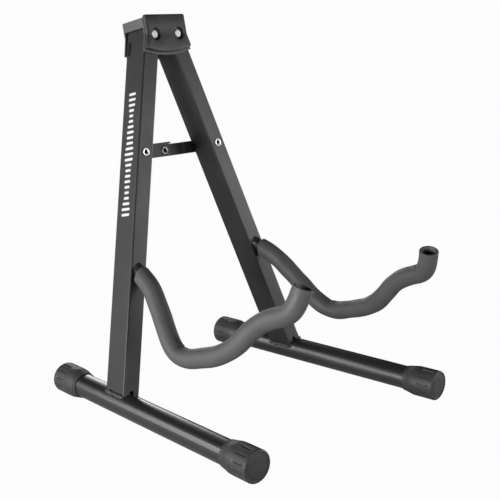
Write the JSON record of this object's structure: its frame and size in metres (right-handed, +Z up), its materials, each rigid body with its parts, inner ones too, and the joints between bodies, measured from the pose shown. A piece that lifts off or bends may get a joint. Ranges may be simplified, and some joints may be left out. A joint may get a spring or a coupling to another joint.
{
  "type": "guitar stand",
  "caption": "Folding A-frame floor stand that cradles a guitar's body on two padded arms and rests its back on a rubber pad.",
  "frame": {"origin": "on the floor, at the middle of the stand's bounding box seen from above, with the stand open", "axes": "+X to the right of someone facing the stand's front, -Y the front where the guitar sits, +Z up"},
  "size_m": [0.3092, 0.3294, 0.3994],
  "materials": {
    "frame_steel": "satin black powder coat",
    "foot_steel": "gloss black powder coat",
    "bracket_steel": "satin black powder coat on folded sheet",
    "brace_steel": "satin black powder coat on strip",
    "zinc": "bright zinc plate",
    "pad_rubber": "moulded matt rubber",
    "cap_rubber": "moulded matt rubber, fluted",
    "foam": "closed-cell foam sleeve with a matt skin",
    "plug_plastic": "moulded plastic"
  },
  "bodies": {
    "bracket": {"hinge_bracket": "bracket_steel", "rest_pad": "pad_rubber", "left_hinge_rivet": "zinc", "right_hinge_rivet": "zinc"},
    "left_leg": {"left_leg_tube": "frame_steel", "left_leg_plug": "plug_plastic", "left_foot_tube": "foot_steel", "left_foot_weld": "frame_steel", "left_front_cap": "cap_rubber", "left_rear_cap": "cap_rubber", "left_arm_rod": "frame_steel", "left_arm_weld": "frame_steel", "left_arm_foam": "foam", "left_brace_rivet": "zinc"},
    "right_leg": {"right_leg_tube": "frame_steel", "right_leg_plug": "plug_plastic", "right_foot_tube": "foot_steel", "right_foot_weld": "frame_steel", "right_front_cap": "cap_rubber", "right_rear_cap": "cap_rubber", "right_arm_rod": "frame_steel", "right_arm_weld": "frame_steel", "right_arm_foam": "foam", "right_brace_rivet": "zinc"},
    "left_brace": {"left_link": "brace_steel", "middle_rivet": "zinc"},
    "right_brace": {"right_link": "brace_steel", "right_brace_rivet_tail": "zinc"}
  },
  "joints": [
    {"name": "left_leg_fold", "type": "hinge", "parent": "bracket", "child": "left_leg", "pos_m": [-0.0163, 0.14149, 0.37504], "axis": [0, -0.9751, 0.2215], "range_deg": [0, 16.5]},
    {"name": "right_leg_fold", "type": "hinge", "parent": "bracket", "child": "right_leg", "pos_m": [0.0163, 0.14149, 0.37504], "axis": [0, -0.9751, 0.2215], "range_deg": [-16.5, 0]},
    {"name": "left_brace_pivot", "type": "hinge", "parent": "left_leg", "child": "left_brace", "pos_m": [-0.05194, 0.12975, 0.25431], "axis": [0, -0.9751, 0.2215], "range_deg": [0, 55.21]},
    {"name": "middle_brace_pivot", "type": "hinge", "parent": "left_brace", "child": "right_brace", "pos_m": [0, 0.12975, 0.25431], "axis": [0, -0.9751, 0.2215], "range_deg": [-143.42, 0]}
  ],
  "couplings": [
    {"joint": "right_leg_fold", "follows": "left_leg_fold", "ratio": -1},
    {"joint": "left_brace_pivot", "follows": "left_leg_fold", "ratio": 3.3462},
    {"joint": "middle_brace_pivot", "follows": "left_leg_fold", "ratio": -8.6923}
  ]
}
